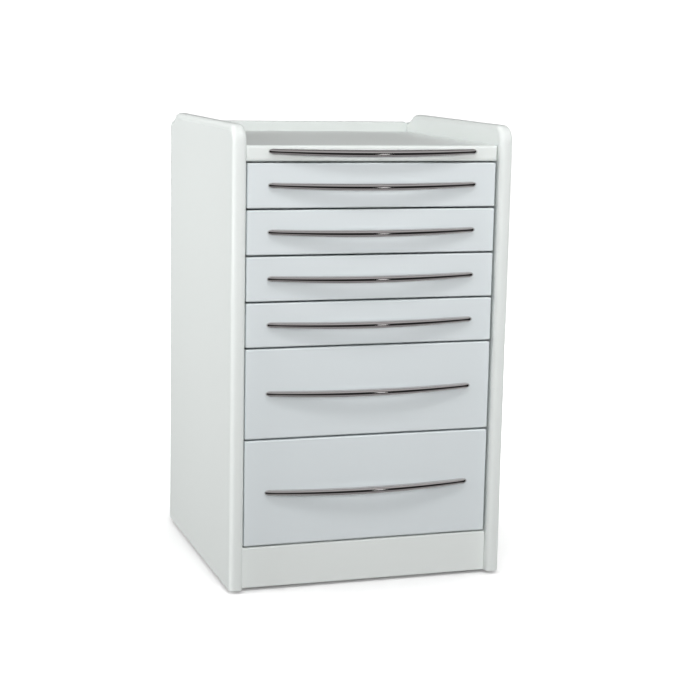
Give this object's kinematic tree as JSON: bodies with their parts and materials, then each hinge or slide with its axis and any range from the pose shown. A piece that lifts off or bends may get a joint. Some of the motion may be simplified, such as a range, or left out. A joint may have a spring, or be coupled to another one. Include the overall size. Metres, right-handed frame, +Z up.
{
  "type": "medication cart",
  "caption": "White drawer cart with raised side panels, a pull-out worktop, shallow and deep drawers with bow handles, and castors hidden behind a plinth.",
  "frame": {"origin": "on the floor, below the centre of the whole object's box", "axes": "+Z up, the drawers face -Y and open towards -Y, +X to the right for someone facing the back of the cart from its front"},
  "size_m": [0.5, 0.507, 0.805],
  "materials": {
    "case_laminate": "white laminate on chipboard, satin",
    "worktop_laminate": "white high-pressure laminate on chipboard, satin",
    "front_lacquer": "cool white lacquer on fibreboard, semi-gloss",
    "handle_chrome": "polished chrome",
    "drawer_steel": "light grey powder coat",
    "zinc_steel": "bright zinc plate",
    "guide_aluminium": "satin anodised",
    "castor_tyre": "grey non-marking rubber"
  },
  "bodies": {
    "case": {"left_side_panel": "case_laminate", "right_side_panel": "case_laminate", "back_panel": "case_laminate", "base_panel": "case_laminate", "sub_top": "case_laminate", "plinth_panel": "case_laminate", "worktop_guide_left": "guide_aluminium", "worktop_guide_right": "guide_aluminium", "drawer_1_rail_left": "zinc_steel", "drawer_1_rail_right": "zinc_steel", "drawer_2_rail_left": "zinc_steel", "drawer_2_rail_right": "zinc_steel", "drawer_3_rail_left": "zinc_steel", "drawer_3_rail_right": "zinc_steel", "drawer_4_rail_left": "zinc_steel", "drawer_4_rail_right": "zinc_steel", "drawer_5_rail_left": "zinc_steel", "drawer_5_rail_right": "zinc_steel", "drawer_6_rail_left": "zinc_steel", "drawer_6_rail_right": "zinc_steel"},
    "worktop": {"worktop": "worktop_laminate", "worktop_handle": "handle_chrome"},
    "drawer_1": {"drawer_1_front": "front_lacquer", "drawer_1_handle": "handle_chrome", "drawer_1_box": "drawer_steel", "drawer_1_slide_left": "zinc_steel", "drawer_1_slide_right": "zinc_steel"},
    "drawer_2": {"drawer_2_front": "front_lacquer", "drawer_2_handle": "handle_chrome", "drawer_2_box": "drawer_steel", "drawer_2_slide_left": "zinc_steel", "drawer_2_slide_right": "zinc_steel"},
    "drawer_3": {"drawer_3_front": "front_lacquer", "drawer_3_handle": "handle_chrome", "drawer_3_box": "drawer_steel", "drawer_3_slide_left": "zinc_steel", "drawer_3_slide_right": "zinc_steel"},
    "drawer_4": {"drawer_4_front": "front_lacquer", "drawer_4_handle": "handle_chrome", "drawer_4_box": "drawer_steel", "drawer_4_slide_left": "zinc_steel", "drawer_4_slide_right": "zinc_steel"},
    "drawer_5": {"drawer_5_front": "front_lacquer", "drawer_5_handle": "handle_chrome", "drawer_5_box": "drawer_steel", "drawer_5_slide_left": "zinc_steel", "drawer_5_slide_right": "zinc_steel"},
    "drawer_6": {"drawer_6_front": "front_lacquer", "drawer_6_handle": "handle_chrome", "drawer_6_box": "drawer_steel", "drawer_6_slide_left": "zinc_steel", "drawer_6_slide_right": "zinc_steel"},
    "castor_front_left_swivel": {"castor_front_left_fork": "zinc_steel"},
    "castor_front_left_roller": {"castor_front_left_wheel": "castor_tyre"},
    "castor_front_right_swivel": {"castor_front_right_fork": "zinc_steel"},
    "castor_front_right_roller": {"castor_front_right_wheel": "castor_tyre"},
    "castor_rear_left_swivel": {"castor_rear_left_fork": "zinc_steel"},
    "castor_rear_left_roller": {"castor_rear_left_wheel": "castor_tyre"},
    "castor_rear_right_swivel": {"castor_rear_right_fork": "zinc_steel"},
    "castor_rear_right_roller": {"castor_rear_right_wheel": "castor_tyre"}
  },
  "joints": [
    {"name": "worktop_slide", "type": "slide", "parent": "case", "child": "worktop", "axis": [0, -1, 0], "range_m": [0, 0.25]},
    {"name": "drawer_1_slide", "type": "slide", "parent": "case", "child": "drawer_1", "axis": [0, -1, 0], "range_m": [0, 0.32]},
    {"name": "drawer_2_slide", "type": "slide", "parent": "case", "child": "drawer_2", "axis": [0, -1, 0], "range_m": [0, 0.32]},
    {"name": "drawer_3_slide", "type": "slide", "parent": "case", "child": "drawer_3", "axis": [0, -1, 0], "range_m": [0, 0.32]},
    {"name": "drawer_4_slide", "type": "slide", "parent": "case", "child": "drawer_4", "axis": [0, -1, 0], "range_m": [0, 0.32]},
    {"name": "drawer_5_slide", "type": "slide", "parent": "case", "child": "drawer_5", "axis": [0, -1, 0], "range_m": [0, 0.32]},
    {"name": "drawer_6_slide", "type": "slide", "parent": "case", "child": "drawer_6", "axis": [0, -1, 0], "range_m": [0, 0.32]},
    {"name": "castor_front_left_turn", "type": "hinge", "parent": "case", "child": "castor_front_left_swivel", "pos_m": [-0.165, -0.162, 0.056], "axis": [0, 0, 1], "continuous": true},
    {"name": "castor_front_left_spin", "type": "hinge", "parent": "castor_front_left_swivel", "child": "castor_front_left_roller", "pos_m": [-0.165, -0.144, 0.0225], "axis": [1, 0, 0], "continuous": true},
    {"name": "castor_front_right_turn", "type": "hinge", "parent": "case", "child": "castor_front_right_swivel", "pos_m": [0.165, -0.162, 0.056], "axis": [0, 0, 1], "continuous": true},
    {"name": "castor_front_right_spin", "type": "hinge", "parent": "castor_front_right_swivel", "child": "castor_front_right_roller", "pos_m": [0.165, -0.144, 0.0225], "axis": [1, 0, 0], "continuous": true},
    {"name": "castor_rear_left_turn", "type": "hinge", "parent": "case", "child": "castor_rear_left_swivel", "pos_m": [-0.165, 0.185, 0.056], "axis": [0, 0, 1], "continuous": true},
    {"name": "castor_rear_left_spin", "type": "hinge", "parent": "castor_rear_left_swivel", "child": "castor_rear_left_roller", "pos_m": [-0.165, 0.203, 0.0225], "axis": [1, 0, 0], "continuous": true},
    {"name": "castor_rear_right_turn", "type": "hinge", "parent": "case", "child": "castor_rear_right_swivel", "pos_m": [0.165, 0.185, 0.056], "axis": [0, 0, 1], "continuous": true},
    {"name": "castor_rear_right_spin", "type": "hinge", "parent": "castor_rear_right_swivel", "child": "castor_rear_right_roller", "pos_m": [0.165, 0.203, 0.0225], "axis": [1, 0, 0], "continuous": true}
  ]
}
